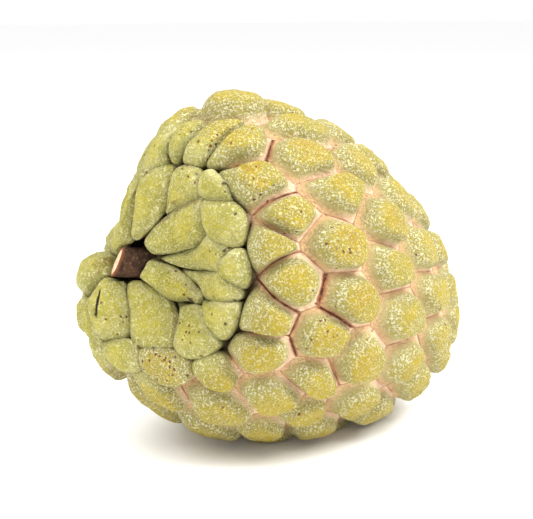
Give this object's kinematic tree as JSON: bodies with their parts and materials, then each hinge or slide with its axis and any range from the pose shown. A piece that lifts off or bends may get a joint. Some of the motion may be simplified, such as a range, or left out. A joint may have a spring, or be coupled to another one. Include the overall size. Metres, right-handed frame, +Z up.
{
  "type": "custard apple",
  "caption": "Knobbly heart-shaped custard apple lying on its side, with fused scale-like carpels and a short cut stalk.",
  "frame": {"origin": "centre of the fruit's box, on the surface that it rests on", "axes": "+X toward the fruit's tip, with the stalk pointing to -X and 8 degrees up, and +Z up"},
  "size_m": [0.0988, 0.0798, 0.0837],
  "materials": {
    "fruit_skin": "satin",
    "stalk_bark": "matte"
  },
  "bodies": {
    "root": {"fruit": "fruit_skin", "stalk": "stalk_bark"}
  },
  "joints": []
}
